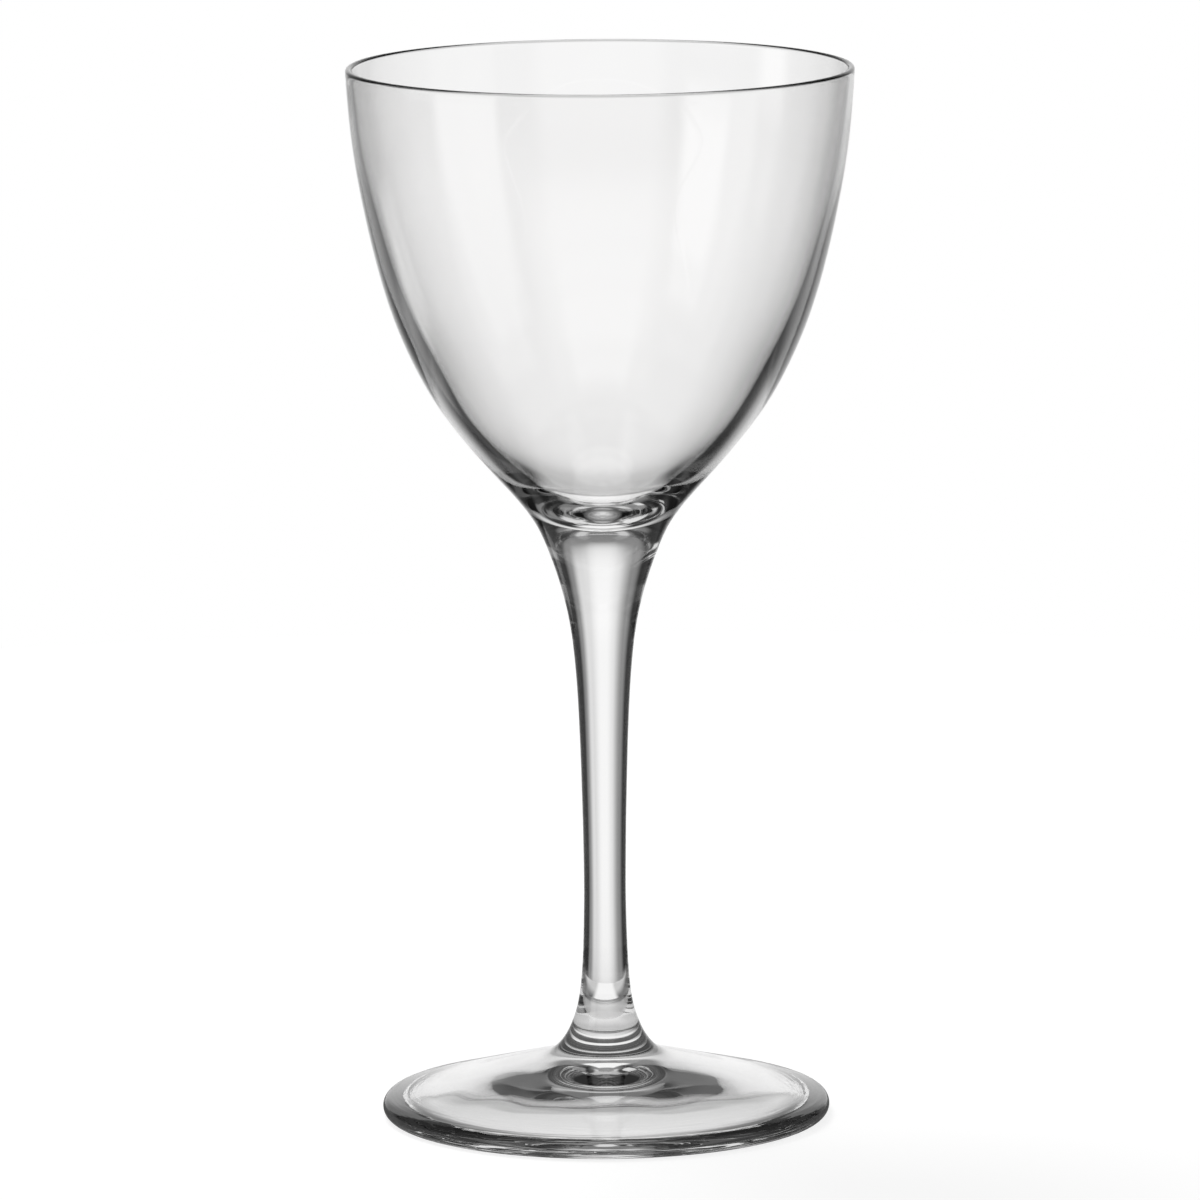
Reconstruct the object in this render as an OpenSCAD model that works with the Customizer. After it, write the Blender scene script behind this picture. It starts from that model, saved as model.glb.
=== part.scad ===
// Stemmed cocktail glass: a blown bowl, a drawn stem and a pressed foot, welded hot into one clear form.
// The outer line runs from the foot's plate to the rim as one curve, and each weld is a cut across it.

/* [Overall] */
// Height of the glass from the table to the rim
glass_h = 151; // [140:0.5:175]

/* [Bowl] */
// Outer diameter of the bowl at the rim
rim_d = 72; // [60:0.5:84]
// Height of the bowl from its weld on the stem to the rim
bowl_h = 67.7; // [60:0.1:76]
// Diameter of the bowl where it is welded to the stem
bowl_weld_d = 16.7; // [13:0.1:20]
// Wall of the bowl at the rim, which is also the width of the rounded rim
rim_wall = 0.95; // [0.8:0.05:1.8]
// Wall of the bowl, measured level, where it runs into the floor
lower_wall = 3.6; // [2.4:0.1:4.4]
// Glass between the lowest point inside the bowl and the weld below it
floor_t = 3.8; // [3:0.1:8]

/* [Stem] */
// Diameter of the stem at its narrowest
stem_d = 6; // [4.8:0.1:8]

/* [Foot] */
// Diameter of the foot
foot_d = 64; // [54:0.5:76]
// Thickness of the foot's rounded edge
edge_t = 3.1; // [2.2:0.1:4]
// Slope of the foot's upper face
plate_angle = 15; // [9:0.5:17]
// Width of the flat ring that the foot rests on
land_w = 2; // [1:0.1:3.5]
// Height of the domed hollow under the foot, at its middle
hollow_h = 4.85; // [2:0.05:6]
// Diameter where the upper face turns up into the neck
collar_d = 16; // [13:0.1:20]
// Height of the neck from the upper face to its weld on the stem
neck_h = 4.5; // [3.5:0.1:7]
// Diameter of the neck where it is welded to the stem
neck_weld_d = 9.5; // [8:0.1:12]

/* [Hidden] */
$fn = 180;

glass = [0.86, 0.89, 0.89, 0.45];
// Straight pieces in each span of a curve, and in each rounded edge
span_steps = 5;
edge_steps = 12;

// The foot's upper face: a plain cone that leaves the rounded edge as a tangent
foot_r = foot_d / 2;
edge_r = edge_t / 2;
edge_middle = [foot_r - edge_r, edge_r];
face_outer = edge_middle + edge_r * [sin(plate_angle), cos(plate_angle)];
function face_at(r) = [r, face_outer.y + (face_outer.x - r) * tan(plate_angle)];

collar_r = collar_d / 2;
neck_r = neck_weld_d / 2;
stem_r = stem_d / 2;
weld_r = bowl_weld_d / 2;
rim_r = rim_d / 2;
foot_h = face_at(collar_r).y + neck_h;
bowl_z = glass_h - bowl_h;
stem_l = bowl_z - foot_h;
rim_middle_z = glass_h - rim_wall / 2;
floor_z = bowl_z + floor_t;

// Where the curve lies on the cone before it turns up, as shares of the collar's radius
face_shares = [1.75, 1.38, 0.99];
// Neck above the collar: [share of the way in from collar to weld, share of its height]
neck_shares = [[0.47, 0.29], [0.79, 0.64]];
// Stem below its waist: [share of the neck's extra radius, share of the stem's length]
lower_stem_shares = [[0.55, 0.032], [0.26, 0.078], [0.105, 0.14], [0.025, 0.215]];
// Height of the waist as a share of the stem's length
waist_share = 0.295;
// Stem above its waist: [share of the bowl weld's extra radius, share of the stem's length]
upper_stem_shares = [
    [0.012, 0.385], [0.036, 0.47], [0.069, 0.555], [0.108, 0.64],
    [0.173, 0.73], [0.286, 0.815], [0.475, 0.885], [0.725, 0.947]
];
// Bowl below the start of its inner wall: [share of the radius gained to the rim, share of the height]
lower_bowl_shares = [[0.047, 0.042], [0.137, 0.091], [0.271, 0.149]];
// Bowl above it: [share of the radius gained, share of the height, share of the wall's thinning]
upper_bowl_shares = [
    [0.411, 0.215, 0.03], [0.55, 0.29, 0.12], [0.665, 0.375, 0.26], [0.765, 0.47, 0.48],
    [0.843, 0.575, 0.67], [0.907, 0.69, 0.84], [0.962, 0.81, 0.95], [0.99, 0.92, 1]
];
// Floor inside the bowl: [share of the lowest wall point's radius, share of its height above the floor]
floor_shares = [[0.25, 0.045], [0.51, 0.3], [0.755, 0.62]];
// Hollow under the foot, inwards from its ring: [share of the ring's inner radius, share of the height]
hollow_shares = [
    [0.93, 0.12], [0.84, 0.265], [0.7, 0.46], [0.56, 0.62], [0.42, 0.755], [0.28, 0.87], [0.14, 0.965]
];

// A smooth curve through its control points: at each joint it passes near the middle one of three
function spline_at(p, i, t) =
    ((1 - t) ^ 3 * p[i] + (3 * t ^ 3 - 6 * t ^ 2 + 4) * p[i + 1]
    + (-3 * t ^ 3 + 3 * t ^ 2 + 3 * t + 1) * p[i + 2] + t ^ 3 * p[i + 3]) / 6;
function spline(p, first, last) = concat(
    [for (i = [first:last - 1], k = [0:span_steps - 1]) spline_at(p, i, k / span_steps)],
    [spline_at(p, last - 1, 1)]
);
// The control point that takes the curve exactly through a place
function passing(before, place, after) = (6 * place - before - after) / 4;
// The point past an end that stops the curve exactly on that end
function past(end, before) = 2 * end - before;
function arc(middle, r, from, to) = [
    for (k = [0:edge_steps])
        let (a = from + (to - from) * k / edge_steps)
        middle + r * [cos(a), sin(a)]
];

// Outer line from the foot's face to the rim
face_points = [for (s = face_shares) face_at(collar_r * s)];
neck_points = [
    for (s = neck_shares)
        [collar_r + (neck_r - collar_r) * s.x, foot_h - neck_h * (1 - s.y)]
];
lower_stem = [for (s = lower_stem_shares) [stem_r + (neck_r - stem_r) * s.x, foot_h + stem_l * s.y]];
upper_stem = [for (s = upper_stem_shares) [stem_r + (weld_r - stem_r) * s.x, foot_h + stem_l * s.y]];
function bowl_point(s) = [weld_r + (rim_r - weld_r) * s.x, bowl_z + bowl_h * s.y];
bowl_points = [for (s = concat(lower_bowl_shares, upper_bowl_shares)) bowl_point(s)];
foot_part = concat(face_points, neck_points);
neck_weld = passing(foot_part[len(foot_part) - 1], [neck_r, foot_h], lower_stem[0]);
waist = passing(lower_stem[len(lower_stem) - 1], [stem_r, foot_h + stem_l * waist_share], upper_stem[0]);
bowl_weld = passing(upper_stem[len(upper_stem) - 1], [weld_r, bowl_z], bowl_points[0]);
rim_outer = [rim_r, rim_middle_z];
outer = concat(
    foot_part, [neck_weld], lower_stem, [waist], upper_stem, [bowl_weld], bowl_points,
    [rim_outer, past(rim_outer, bowl_points[len(bowl_points) - 1])]
);
neck_joint = len(foot_part) - 1;
bowl_joint = neck_joint + len(lower_stem) + len(upper_stem) + 2;
rim_joint = len(outer) - 3;

// Inner line of the bowl from its floor to the rim
rim_inner = [rim_r - rim_wall, rim_middle_z];
function wall_at(thinned) = lower_wall + (rim_wall - lower_wall) * thinned;
wall_points = [for (s = upper_bowl_shares) bowl_point(s) - [wall_at(s.z), 0]];
floor_points = [
    for (s = floor_shares)
        [wall_points[0].x * s.x, floor_z + (wall_points[0].y - floor_z) * s.y]
];
across = [-floor_points[0].x, floor_points[0].y];
inner = concat(
    [across, passing(across, [0, floor_z], floor_points[0])], floor_points, wall_points,
    [rim_inner, past(rim_inner, wall_points[len(wall_points) - 1])]
);

// Underside of the foot from the resting ring to the middle of the hollow
land_inner = [edge_middle.x - land_w, 0];
hollow_points = [for (s = hollow_shares) [land_inner.x * s.x, hollow_h * s.y]];
hollow_inner = hollow_points[len(hollow_points) - 1];
hollow_across = [-hollow_inner.x, hollow_inner.y];
underside = concat(
    [past(land_inner, hollow_points[0]), land_inner], hollow_points,
    [passing(hollow_inner, [0, hollow_h], hollow_across), hollow_across]
);

// The lines walked inwards or downwards when an outline is closed
inner_line = spline(inner, 0, len(inner) - 3);
neck_line = spline(outer, 0, neck_joint);
function backwards(line) = [for (i = [len(line) - 1:-1:0]) line[i]];

module turned(outline) {
    rotate_extrude() polygon(outline);
}

// The bowl: a thin wall that thickens evenly towards a heavy round floor
module bowl() {
    color(glass) turned(concat(
        [[0, bowl_z]],
        spline(outer, bowl_joint, rim_joint),
        arc([rim_r - rim_wall / 2, rim_middle_z], rim_wall / 2, 0, 180),
        backwards(inner_line)
    ));
}

// The stem: drawn out of the bowl's foot, narrowest low down, flared at both welds
module stem() {
    color(glass) turned(concat(
        [[0, foot_h]],
        spline(outer, neck_joint, bowl_joint),
        [[0, bowl_z]]
    ));
}

// The foot: a conical plate with a round edge, a neck for the stem and a domed hollow under it
module foot() {
    color(glass) turned(concat(
        spline(underside, 0, len(underside) - 3),
        [[0, foot_h]],
        backwards(neck_line),
        arc(edge_middle, edge_r, 90 - plate_angle, -90)
    ));
}

bowl();
stem();
foot();
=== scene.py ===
import math

import bpy
import numpy as np
from mathutils import Matrix, Vector, noise


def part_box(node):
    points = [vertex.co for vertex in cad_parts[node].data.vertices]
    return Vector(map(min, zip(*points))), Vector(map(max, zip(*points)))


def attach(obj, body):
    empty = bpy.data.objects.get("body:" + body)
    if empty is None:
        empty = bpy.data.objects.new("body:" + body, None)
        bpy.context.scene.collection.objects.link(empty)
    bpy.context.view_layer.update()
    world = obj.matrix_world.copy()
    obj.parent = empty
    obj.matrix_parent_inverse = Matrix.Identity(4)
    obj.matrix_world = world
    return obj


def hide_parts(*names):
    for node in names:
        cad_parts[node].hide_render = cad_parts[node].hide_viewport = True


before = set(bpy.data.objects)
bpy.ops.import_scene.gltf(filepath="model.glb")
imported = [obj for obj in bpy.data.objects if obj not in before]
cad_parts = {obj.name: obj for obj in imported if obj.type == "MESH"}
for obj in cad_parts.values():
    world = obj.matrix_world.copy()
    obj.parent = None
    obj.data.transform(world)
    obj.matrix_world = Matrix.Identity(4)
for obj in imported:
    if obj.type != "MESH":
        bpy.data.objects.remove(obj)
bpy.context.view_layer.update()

# Camera: a long lens far in front of the glass, looking a little down on it
CAMERA_BACK = 1.4602
CAMERA_UP = 0.3135
CAMERA_SIDE = -0.00045
CAMERA_PITCH = math.radians(9.29)
CAMERA_ROLL = math.radians(-0.36)
LENS_MM = 311.8
SENSOR_MM = 36.0

# Reading an outline: how near the seam a point lies, the decimals within which two points are one, and the
# least bend that counts as a corner
ON_SEAM = 1e-6
SAME_DECIMALS = 7
LEAST_BEND = math.radians(0.15)

# Mesh: steps round the axis, the longest step along an outline and a finer one near the axis, and the
# length past which a stretch between two points stays straight
TURNS = 240
STEP = 0.00055
FINE_STEP = 0.00015
FINE_R = 0.0022
STRAIGHT = 0.00195

# Waves that hot work leaves: how far each piece swells, how long its waves are, and how gently they start
# at a weld
SWELL = {"bowl": 0.00002, "stem": 0.00003, "foot": 0.00003}
WAVE_SIZE = {"bowl": 0.012, "stem": 0.008, "foot": 0.007}
WELD_EASE = 0.003
# The puckered middle of the bowl's floor, where the glass chilled last
PUCKER_R = 0.0019
PUCKER_DEPTH = 0.00016
PUCKER_SIZE = 0.0007
PUCKER_ABOVE = 0.085

# From here on, a value named for an edge is a pair: where the edge lies, and the width of its soft change

# Glass, and the patches where it is least glossy
GLASS_IOR = 1.51
GLASS_COLOUR = (0.998, 0.996, 0.995, 1.0)
PATCH_SCALE = 140.0
PATCH_DETAIL = 3.0
PATCH_EDGE = (0.6, 0.3)
DULLEST = 0.02
# Fine drawn lines at the foot's edge: their distance from each other, how often one changes on its way
# round, their depth, and where they lie
LINES_APART = 0.0008
LINES_ROUND = 2.5
LINES_DETAIL = 2.0
LINES_DEPTH = 0.00007
LINES_INNER_EDGE = (0.0275, 0.003)
LINES_TOP_EDGE = (0.009, 0.004)

# What each mirroring by the glass, after a ray's first, leaves of its light: matched to the photograph
KEPT_LIGHT = 0.84
# Most bounces that a ray makes in the glass, and most that mirror it
BOUNCES = 32
MIRRORINGS = 16

# Surround that the glass sees, in degrees, each panel over those before it: level, azimuth from and to,
# softness of those two sides, elevation from and to, and softness of those two ends
SURROUND_BASE = 0.05
SURROUND = (
    # Floor before the glass, the ceiling and the room behind the camera
    (0.45, 80, 280, 20, 20, -95, -18, 12),
    (0.95, 142, 218, 12, 12, -58, -26, 8),
    (0.20, -100, 100, 40, 40, 58, 100, 16),
    (0.45, 150, 210, 12, 12, -18, 30, 8),
    (0.60, 150, 210, 12, 12, 30, 62, 8),
    # Two long lights overhead
    (0.60, 45, 130, 10, 6, 66, 76, 5),
    (0.60, -138, -45, 6, 10, 66, 76, 5),
    # Black boards on both sides of the pale sheet behind, which darken the glass's edges
    (0.02, 36, 88, 6, 10, -22, 58, 8),
    (0.02, -76, -36, 4, 6, -22, 58, 8),
    # Floor beside the boards, with a lit patch to the left
    (0.32, -90, -34, 10, 8, -50, -19, 6),
    (0.95, -54, -36, 6, 5, -31, -19, 5),
    (0.22, 40, 88, 8, 8, -50, -19, 6),
    # Behind: the dim ends of the pale sheet and a light above it, the black table below with a pale and a
    # white strip on it, and last the pale sheet and its bright middle
    (0.25, -38, 36, 14, 10, -26, 44, 14),
    (0.25, -20, 20, 12, 12, 22, 60, 14),
    (1.00, -22, 22, 8, 8, 45, 67, 5),
    (0.02, -36, 36, 6, 6, -60, -26, 8),
    (0.62, -9, 9, 6, 6, -42, -20, 8),
    (1.00, -15, 15, 6, 6, -62, -43, 5),
    (0.72, -20, 26, 16, 10, -20, 20, 14),
    (0.97, -11, 11, 16, 16, -18, 18, 18),
    # Soft boxes, which the front of the bowl mirrors, and its back once more
    (1.00, -131, -98, 5, 7, -50, -9, 6),
    (0.30, 92, 129, 8, 5, -6, 34, 6),
    (0.90, 103, 142, 7, 6, -48, -8, 6),
    (0.95, -138, -114, 6, 5, 4, 28, 5),
    # A pale gap to the left, which shows through the glass when it is seen from the right
    (1.00, -98, -82, 10, 10, -9, 4, 6),
)
# Level of the world for all but the camera and the glass, which lights the floor
PLAIN_LIGHT = 0.45

# Floor: a disc that ends where the world's own white goes on, partly lit and partly pale by itself
FLOOR_R = 0.42
FLOOR_SIDES = 128
FLOOR_COLOUR = (0.3, 0.3, 0.3, 1)
FLOOR_OWN = 0.8
# What the glass sees of the floor near the foot, out to this edge. Past it, the surround shows
NEAR_EDGE = (0.06, 0.002)
# Inside the ring that the foot rests on it is pale, less so at the back, with a painted shadow on each side
# of the stem, a soft dark spot whose own edge is a share of its half sizes, squared
UNDER_LEVEL = 0.86
UNDER_BACK_LEVEL = 0.55
UNDER_BACK_EDGE = (0.003, 0.012)
SHADE_SPOT_LEVEL = 0.62
SHADE_SPOT_X = 0.0105
SHADE_SPOT_Y = 0.0015
SHADE_SPOT_HALF_X = 0.006
SHADE_SPOT_HALF_Y = 0.0055
SHADE_SPOT_EDGE = (1.0, 1.2)
# Round the ring lies a dark band of shadow, and past it a grey that is paler behind
SHADOW_LEVEL = 0.12
SHADOW_INNER_EDGE = (0.026, 0.004)
SHADOW_OUTER_EDGE = (0.037, 0.006)
FRONT_LEVEL = 0.15
BEHIND_LEVEL = 0.6
BEHIND_EDGE = (0.042, 0.014)
# A bright strip behind, which the collar bends towards the camera
STRIP_LEVEL = 0.95
STRIP_HALF = 0.012
STRIP_SOFT = 0.006
STRIP_FRONT_EDGE = (0.0345, 0.004)

# Lamp high behind the glass, for the floor
LAMP_PLACE = (-0.25, 0.35, 0.9)
LAMP_SIZE = 0.4
LAMP_W = 4.2


def seam_points(name, start):
    """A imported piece's outline: rows of radius and height along its seam, from the point nearest start."""
    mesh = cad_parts[name].data
    places = np.array([v.co for v in mesh.vertices])
    on_seam = (np.abs(places[:, 1]) < ON_SEAM) & (places[:, 0] > -ON_SEAM)
    spot_of = {}
    for i in np.flatnonzero(on_seam):
        spot_of[i] = (round(places[i, 0], SAME_DECIMALS), round(places[i, 2], SAME_DECIMALS))
    joined = {spot: set() for spot in spot_of.values()}
    for a, b in (edge.vertices for edge in mesh.edges):
        if a in spot_of and b in spot_of:
            joined[spot_of[a]].add(spot_of[b])
            joined[spot_of[b]].add(spot_of[a])
    here = min(joined, key=lambda spot: math.dist(spot, start))
    walked = [here]
    left = set(joined) - {here}
    while left:
        here = min(joined[here] & left or left, key=lambda spot: math.dist(spot, walked[-1]))
        walked.append(here)
        left.discard(here)
    return np.array(walked)


def corners_only(points):
    """The outline without the points that lie along its straight stretches."""
    kept = [points[0]]
    for here, after in zip(points[1:-1], points[2:]):
        before = here - kept[-1]
        ahead = after - here
        bend = math.atan2(before[0] * ahead[1] - before[1] * ahead[0], before @ ahead)
        if abs(bend) > LEAST_BEND:
            kept.append(here)
    kept.append(points[-1])
    return np.array(kept)


def way_through(before, here, after):
    """The direction of a smooth line at here, between its neighbours on either side."""
    steps = np.array([here - before, after - here])
    lengths = np.hypot(*steps.T)
    way = steps[0] * lengths[1] / lengths[0] + steps[1] * lengths[0] / lengths[1]
    return way / math.hypot(*way)


def smooth_line(points, first_way, last_way):
    """A dense smooth line through the points. A stretch longer than STRAIGHT stays straight."""
    ways = [way_through(*three) for three in zip(points, points[1:], points[2:])]
    ways = np.array([first_way, *ways, last_way])
    steps = np.diff(points, axis=0)
    lengths = np.hypot(*steps.T)
    for k in np.flatnonzero(lengths > STRAIGHT):
        ways[k] = ways[k + 1] = steps[k] / lengths[k]
    line = []
    for k, length in enumerate(lengths):
        step = FINE_STEP if points[k + 1][0] < FINE_R else STEP
        count = max(2, math.ceil(length / step))
        for t in np.arange(count) / count:
            line.append(
                (2 * t**3 - 3 * t**2 + 1) * points[k]
                + (t**3 - 2 * t**2 + t) * length * ways[k]
                + (3 * t**2 - 2 * t**3) * points[k + 1]
                + (t**3 - t**2) * length * ways[k + 1]
            )
    line.append(points[-1])
    return np.array(line)


def grid_normals(grid):
    """Unit normals of a grid of places. Its rows follow the outline, and its columns go round the axis."""
    along = np.gradient(grid, axis=0, edge_order=2)
    round_axis = np.roll(grid, -1, axis=1) - np.roll(grid, 1, axis=1)
    normals = np.cross(round_axis, along)
    return normals / np.linalg.norm(normals, axis=2, keepdims=True)


def uneven(grid, node, welds):
    """The grid with the pucker and slow waves, which swell along its normals and die out at the welds."""
    wave = np.array([[noise.noise(Vector(place / WAVE_SIZE[node])) for place in row] for row in grid])
    height = grid[:, :, 2]
    for weld in welds:
        wave *= np.clip(np.abs(height - weld) / WELD_EASE, 0, 1) ** 2
    radius = np.hypot(grid[:, :, 0], grid[:, :, 1])
    pucker = np.zeros(radius.shape)
    for i, k in np.argwhere((radius < PUCKER_R) & (height > PUCKER_ABOVE)):
        fade = (1 - (radius[i, k] / PUCKER_R) ** 2) ** 2
        pucker[i, k] = fade * noise.noise(Vector(grid[i, k] / PUCKER_SIZE))
    return grid + (SWELL[node] * wave + PUCKER_DEPTH * pucker)[:, :, None] * grid_normals(grid)


def closed_faces(count):
    """Faces of a turned mesh that has count rings and then two tips: its sides, and a fan to each tip."""
    ring = np.arange(TURNS)
    after = (ring + 1) % TURNS
    first = np.arange(count - 1)[:, None] * TURNS
    sides = np.stack([first + ring, first + after, first + TURNS + after, first + TURNS + ring], axis=2)
    low_tip = np.full(TURNS, count * TURNS)
    low_fan = np.stack([after, ring, low_tip], axis=1)
    top = (count - 1) * TURNS
    high_fan = np.stack([top + ring, top + after, low_tip + 1], axis=1)
    return sides.reshape(-1, 4), low_fan, high_fan


def fan_normals(normals, fan, outwards, on_axis):
    """Normals at the corners of an end's fan: it goes on smoothly over the axis, and is flat at a weld."""
    corners = np.tile([0.0, 0.0, outwards], (TURNS, 3, 1))
    if on_axis:
        corners[:, 2, 2] = np.sign(normals[fan[0, 0], 2])
        corners[:, :2] = normals[fan[:, :2]]
    return corners.reshape(-1, 3)


def turned(node, line, welds, glass, weld):
    """A closed piece turned from its outline. An end on the axis closes in a point, any other in a weld."""
    low_on_axis = line[0, 0] < ON_SEAM
    high_on_axis = line[-1, 0] < ON_SEAM
    rows = line[int(low_on_axis):len(line) - int(high_on_axis)]
    angles = np.arange(TURNS) * math.tau / TURNS
    x = rows[:, :1] * np.cos(angles)
    y = rows[:, :1] * np.sin(angles)
    z = np.repeat(rows[:, 1:], TURNS, axis=1)
    grid = uneven(np.stack([x, y, z], axis=2), node, welds)
    normals = grid_normals(grid).reshape(-1, 3)
    tips = [(0, 0, line[0, 1]), (0, 0, line[-1, 1])]
    places = np.concatenate([grid.reshape(-1, 3), tips])
    sides, low_fan, high_fan = closed_faces(len(rows))
    faces = sides.tolist() + low_fan.tolist() + high_fan.tolist()
    mesh = bpy.data.meshes.new(f"{node}_glass")
    mesh.from_pydata(places.tolist(), [], faces)
    mesh.shade_smooth()
    corner_normals = np.concatenate([
        normals[sides.reshape(-1)],
        fan_normals(normals, low_fan, -1.0, low_on_axis),
        fan_normals(normals, high_fan, 1.0, high_on_axis),
    ])
    mesh.normals_split_custom_set(corner_normals.tolist())
    mesh.materials.append(glass)
    mesh.materials.append(weld)
    material_index = np.zeros(len(faces), np.int32)
    material_index[-2 * TURNS:-TURNS] = 0 if low_on_axis else 1
    material_index[-TURNS:] = 0 if high_on_axis else 1
    mesh.polygons.foreach_set("material_index", material_index)
    piece = bpy.data.objects.new(mesh.name, mesh)
    bpy.context.scene.collection.objects.link(piece)
    return piece


def make_glass():
    """The three visible pieces of glass, each in place of its solid, smooth through both welds."""
    bowl_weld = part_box("bowl")[0].z
    neck_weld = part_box("stem")[0].z
    weld_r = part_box("stem")[1].x
    foot = corners_only(seam_points("foot", (0, 0)))
    stem = corners_only(seam_points("stem", (weld_r, neck_weld)))
    bowl = corners_only(seam_points("bowl", (weld_r, bowl_weld)))
    neck_way = way_through(foot[-2], stem[0], stem[1])
    bowl_way = way_through(stem[-2], bowl[0], bowl[1])
    lines = {
        "foot": smooth_line(foot, (1, 0), neck_way),
        "stem": smooth_line(stem, neck_way, bowl_way),
        "bowl": smooth_line(bowl, bowl_way, (-1, 0)),
    }
    glass = glass_material()
    weld = weld_material()
    for node, line in lines.items():
        piece = turned(node, line, (0.0, neck_weld, bowl_weld), glass, weld)
        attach(piece, "root")
        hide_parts(node)


def feed(tree, socket, value):
    """Sets an input to a number or a colour, or links another node's output to it."""
    if isinstance(value, bpy.types.NodeSocket):
        tree.links.new(value, socket)
    else:
        socket.default_value = value


def add_node(tree, kind, **values):
    """A new node with some settings and inputs given. A space in an input's name is written as _ here."""
    node = tree.nodes.new(kind)
    for key, value in values.items():
        if hasattr(node, key):
            setattr(node, key, value)
        else:
            feed(tree, node.inputs[key.replace("_", " ")], value)
    return node


def math_node(tree, operation, *values):
    """One step of arithmetic on numbers or other nodes' outputs."""
    node = add_node(tree, "ShaderNodeMath", operation=operation)
    for socket, value in zip(node.inputs, values):
        feed(tree, socket, value)
    return node.outputs[0]


def past(tree, value, edge, soft):
    """0 below an edge and 1 above it, with a soft change between."""
    ends = {"From_Min": edge - soft / 2, "From_Max": edge + soft / 2}
    node = add_node(tree, "ShaderNodeMapRange", interpolation_type="SMOOTHSTEP", Value=value, **ends)
    return node.outputs["Result"]


def below(tree, value, edge, soft):
    """1 below an edge and 0 above it, with a soft change between."""
    return math_node(tree, "SUBTRACT", 1.0, past(tree, value, edge, soft))


def between(tree, value, low, high, soft_low, soft_high):
    """1 between two edges and 0 outside them, each edge as soft as it says."""
    above = past(tree, value, low, soft_low)
    return math_node(tree, "SUBTRACT", above, past(tree, value, high, soft_high))


def blend(tree, lower, upper, cover):
    """The lower level, covered by the upper one as far as cover says."""
    node = add_node(tree, "ShaderNodeMix")
    feed(tree, node.inputs[0], cover)
    feed(tree, node.inputs[2], lower)
    feed(tree, node.inputs[3], upper)
    return node.outputs[0]


def blend_shaders(tree, lower, upper, cover):
    """The lower shader, covered by the upper one as far as cover says."""
    node = add_node(tree, "ShaderNodeMixShader")
    feed(tree, node.inputs[0], cover)
    feed(tree, node.inputs[1], lower)
    feed(tree, node.inputs[2], upper)
    return node.outputs[0]


def split(tree, vector):
    """The x, y and z of a place or a direction."""
    return add_node(tree, "ShaderNodeSeparateXYZ", Vector=vector).outputs


def from_axis(tree, x, y):
    """The distance of a place from the glass's axis."""
    return math_node(tree, "SQRT", math_node(tree, "MULTIPLY_ADD", x, x, math_node(tree, "MULTIPLY", y, y)))


def empty_tree(owner):
    """The owner's node tree, cleared."""
    owner.use_nodes = True
    owner.node_tree.nodes.clear()
    return owner.node_tree


def edge_lines(tree, place):
    """Fine lines that run round the foot's edge, each fading in and out on its way, and none elsewhere."""
    x, y, z = split(tree, place)
    radius = from_axis(tree, x, y)
    safe = math_node(tree, "MAXIMUM", radius, LINES_APART)
    way_x = math_node(tree, "MULTIPLY", math_node(tree, "DIVIDE", x, safe), LINES_ROUND)
    way_y = math_node(tree, "MULTIPLY", math_node(tree, "DIVIDE", y, safe), LINES_ROUND)
    level = math_node(tree, "DIVIDE", z, LINES_APART)
    spot = add_node(tree, "ShaderNodeCombineXYZ", X=way_x, Y=way_y, Z=level)
    lines = add_node(tree, "ShaderNodeTexNoise", noise_dimensions="4D", Scale=1.0, Detail=LINES_DETAIL)
    feed(tree, lines.inputs["Vector"], spot.outputs[0])
    feed(tree, lines.inputs["W"], math_node(tree, "DIVIDE", radius, LINES_APART))
    outer = past(tree, radius, *LINES_INNER_EDGE)
    at_edge = math_node(tree, "MULTIPLY", outer, below(tree, z, *LINES_TOP_EDGE))
    return math_node(tree, "MULTIPLY", lines.outputs["Fac"], at_edge)


def glass_material():
    """Clear soda glass, polished by fire: faintly uneven in gloss, with fine lines at the foot's edge."""
    material = bpy.data.materials.new("clear_glass")
    material.use_nodes = True
    tree = material.node_tree
    place = add_node(tree, "ShaderNodeTexCoord").outputs["Object"]
    patches = add_node(tree, "ShaderNodeTexNoise", Scale=PATCH_SCALE, Detail=PATCH_DETAIL, Vector=place)
    dull = past(tree, patches.outputs["Fac"], *PATCH_EDGE)
    bump = add_node(tree, "ShaderNodeBump", Distance=LINES_DEPTH, Height=edge_lines(tree, place))
    shader = tree.nodes["Principled BSDF"]
    shader.inputs["Base Color"].default_value = GLASS_COLOUR
    shader.inputs["Transmission Weight"].default_value = 1.0
    shader.inputs["IOR"].default_value = GLASS_IOR
    feed(tree, shader.inputs["Roughness"], math_node(tree, "MULTIPLY", dull, DULLEST))
    feed(tree, shader.inputs["Normal"], bump.outputs["Normal"])
    return material


def weld_material():
    """Where two pieces are fused, glass runs on into glass and nothing shows."""
    material = bpy.data.materials.new("weld")
    tree = empty_tree(material)
    clear = add_node(tree, "ShaderNodeBsdfTransparent")
    add_node(tree, "ShaderNodeOutputMaterial", Surface=clear.outputs[0])
    return material


def directions(tree):
    """Azimuth from +Y towards +X and elevation of the way that a ray leaves, in degrees."""
    x, y, z = split(tree, add_node(tree, "ShaderNodeTexCoord").outputs["Generated"])
    azimuth = math_node(tree, "MULTIPLY", math_node(tree, "ARCTAN2", x, y), math.degrees(1))
    elevation = math_node(tree, "MULTIPLY", math_node(tree, "ARCSINE", z), math.degrees(1))
    return azimuth, elevation


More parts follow.
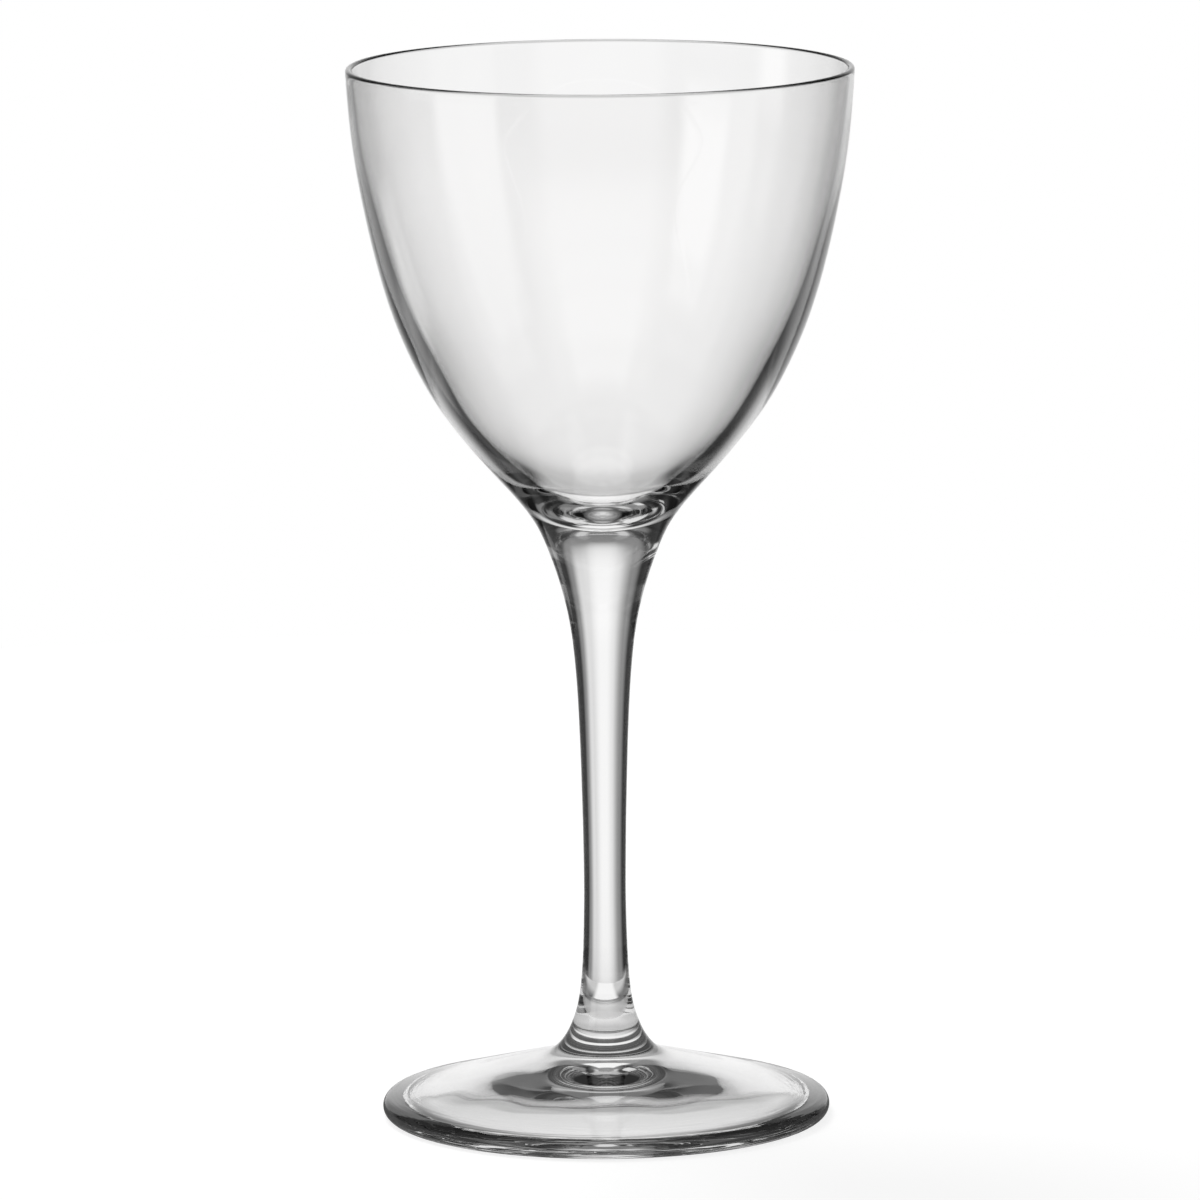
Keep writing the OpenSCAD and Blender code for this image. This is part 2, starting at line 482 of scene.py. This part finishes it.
def surround_level(tree):
    """How bright the surround is in each direction, for what the glass mirrors and bends."""
    azimuth, elevation = directions(tree)
    level = SURROUND_BASE
    for panel_level, left, right, soft_left, soft_right, low, high, soft in SURROUND:
        middle = (left + right) / 2
        turn = math_node(tree, "WRAP", math_node(tree, "SUBTRACT", azimuth, middle), 180.0, -180.0)
        sides = between(tree, turn, left - middle, right - middle, soft_left, soft_right)
        ends = between(tree, elevation, low, high, soft, soft)
        level = blend(tree, level, panel_level, math_node(tree, "MULTIPLY", sides, ends))
    return level


def ray_kinds(tree):
    """Whether a ray comes from the camera, or from the glass by mirroring or bending: two levels, 0 or 1."""
    path = add_node(tree, "ShaderNodeLightPath").outputs
    from_glass = math_node(tree, "MAXIMUM", path["Is Glossy Ray"], path["Is Transmission Ray"])
    return path["Is Camera Ray"], from_glass


def dimmed(tree, level):
    """The level less what each mirroring after a ray's first takes. Thick places turn dark by it, as in the
    photograph, though clear glass takes less light than this."""
    mirrorings = add_node(tree, "ShaderNodeLightPath").outputs["Glossy Depth"]
    more = math_node(tree, "MAXIMUM", math_node(tree, "SUBTRACT", mirrorings, 1.0), 0.0)
    return math_node(tree, "MULTIPLY", level, math_node(tree, "POWER", KEPT_LIGHT, more))


def make_world():
    """White behind everything for the camera, the surround for the glass, and plain light for the floor."""
    world = bpy.data.worlds.new("studio")
    bpy.context.scene.world = world
    tree = empty_tree(world)
    camera, from_glass = ray_kinds(tree)
    strength = blend(tree, PLAIN_LIGHT, dimmed(tree, surround_level(tree)), from_glass)
    strength = blend(tree, strength, 1.0, camera)
    background = add_node(tree, "ShaderNodeBackground", Color=(1, 1, 1, 1), Strength=strength)
    add_node(tree, "ShaderNodeOutputWorld", Surface=background.outputs[0])


def floor_near_level(tree, x, y, radius):
    """How bright the floor near the foot is, for the glass, with painted shadows round the ring and beside
    the stem.
    """
    level = blend(tree, FRONT_LEVEL, BEHIND_LEVEL, past(tree, y, *BEHIND_EDGE))
    level = blend(tree, SHADOW_LEVEL, level, past(tree, radius, *SHADOW_OUTER_EDGE))
    strip = between(tree, x, -STRIP_HALF, STRIP_HALF, STRIP_SOFT, STRIP_SOFT)
    strip = math_node(tree, "MULTIPLY", strip, past(tree, y, *STRIP_FRONT_EDGE))
    level = blend(tree, level, STRIP_LEVEL, strip)
    under = blend(tree, UNDER_LEVEL, UNDER_BACK_LEVEL, past(tree, y, *UNDER_BACK_EDGE))
    # Painted shadow: a soft dark spot on each side of the stem
    sideways = math_node(tree, "SUBTRACT", math_node(tree, "ABSOLUTE", x), SHADE_SPOT_X)
    across = math_node(tree, "DIVIDE", sideways, SHADE_SPOT_HALF_X)
    along = math_node(tree, "DIVIDE", math_node(tree, "SUBTRACT", y, SHADE_SPOT_Y), SHADE_SPOT_HALF_Y)
    out = math_node(tree, "MULTIPLY_ADD", across, across, math_node(tree, "MULTIPLY", along, along))
    under = blend(tree, SHADE_SPOT_LEVEL, under, past(tree, out, *SHADE_SPOT_EDGE))
    return blend(tree, under, level, past(tree, radius, *SHADOW_INNER_EDGE))


def floor_material():
    """A pale floor that takes shadows. The glass sees its near levels instead, and nothing of it beyond."""
    material = bpy.data.materials.new("floor")
    tree = empty_tree(material)
    lit = add_node(tree, "ShaderNodeBsdfDiffuse", Color=FLOOR_COLOUR)
    own = add_node(tree, "ShaderNodeEmission", Strength=FLOOR_OWN)
    plain = add_node(tree, "ShaderNodeAddShader")
    feed(tree, plain.inputs[0], lit.outputs[0])
    feed(tree, plain.inputs[1], own.outputs[0])
    x, y, _ = split(tree, add_node(tree, "ShaderNodeNewGeometry").outputs["Position"])
    radius = from_axis(tree, x, y)
    level = dimmed(tree, floor_near_level(tree, x, y, radius))
    near = add_node(tree, "ShaderNodeEmission", Strength=level)
    clear = add_node(tree, "ShaderNodeBsdfTransparent")
    for_glass = blend_shaders(tree, near.outputs[0], clear.outputs[0], past(tree, radius, *NEAR_EDGE))
    camera, from_glass = ray_kinds(tree)
    both = blend_shaders(tree, plain.outputs[0], for_glass, from_glass)
    add_node(tree, "ShaderNodeOutputMaterial", Surface=both)
    return material


def make_floor():
    """The round floor that the glass stands on."""
    mesh = bpy.data.meshes.new("floor")
    angles = np.arange(FLOOR_SIDES) * math.tau / FLOOR_SIDES
    places = [(FLOOR_R * math.cos(a), FLOOR_R * math.sin(a), 0.0) for a in angles]
    mesh.from_pydata(places, [], [tuple(range(FLOOR_SIDES))])
    mesh.materials.append(floor_material())
    floor = bpy.data.objects.new("floor", mesh)
    bpy.context.scene.collection.objects.link(floor)


def make_lamp():
    """A soft round lamp high behind the glass, which only lights the floor, so that the glass shades it."""
    data = bpy.data.lights.new("lamp", "AREA")
    data.shape = "DISK"
    data.size = LAMP_SIZE
    data.energy = LAMP_W
    lamp = bpy.data.objects.new("lamp", data)
    bpy.context.scene.collection.objects.link(lamp)
    lamp.location = LAMP_PLACE
    lamp.rotation_euler = Vector(LAMP_PLACE).to_track_quat("Z", "Y").to_euler()
    lamp.visible_camera = False
    lamp.visible_glossy = False
    lamp.visible_transmission = False


def make_camera():
    """The camera, placed as the photograph's was."""
    data = bpy.data.cameras.new("camera")
    data.lens = LENS_MM
    data.sensor_width = SENSOR_MM
    camera = bpy.data.objects.new("camera", data)
    bpy.context.scene.collection.objects.link(camera)
    camera.matrix_world = (
        Matrix.Translation((CAMERA_SIDE, -CAMERA_BACK, CAMERA_UP))
        @ Matrix.Rotation(math.pi / 2 - CAMERA_PITCH, 4, "X")
        @ Matrix.Rotation(CAMERA_ROLL, 4, "Z")
    )
    bpy.context.scene.camera = camera


def set_light_paths():
    """Enough bounces for light that runs about inside thick glass."""
    cycles = bpy.context.scene.cycles
    cycles.max_bounces = BOUNCES
    cycles.transmission_bounces = BOUNCES
    cycles.transparent_max_bounces = BOUNCES
    cycles.glossy_bounces = MIRRORINGS


make_camera()
make_glass()
make_floor()
make_lamp()
make_world()
set_light_paths()
bpy.context.scene.view_settings.view_transform = "Standard"
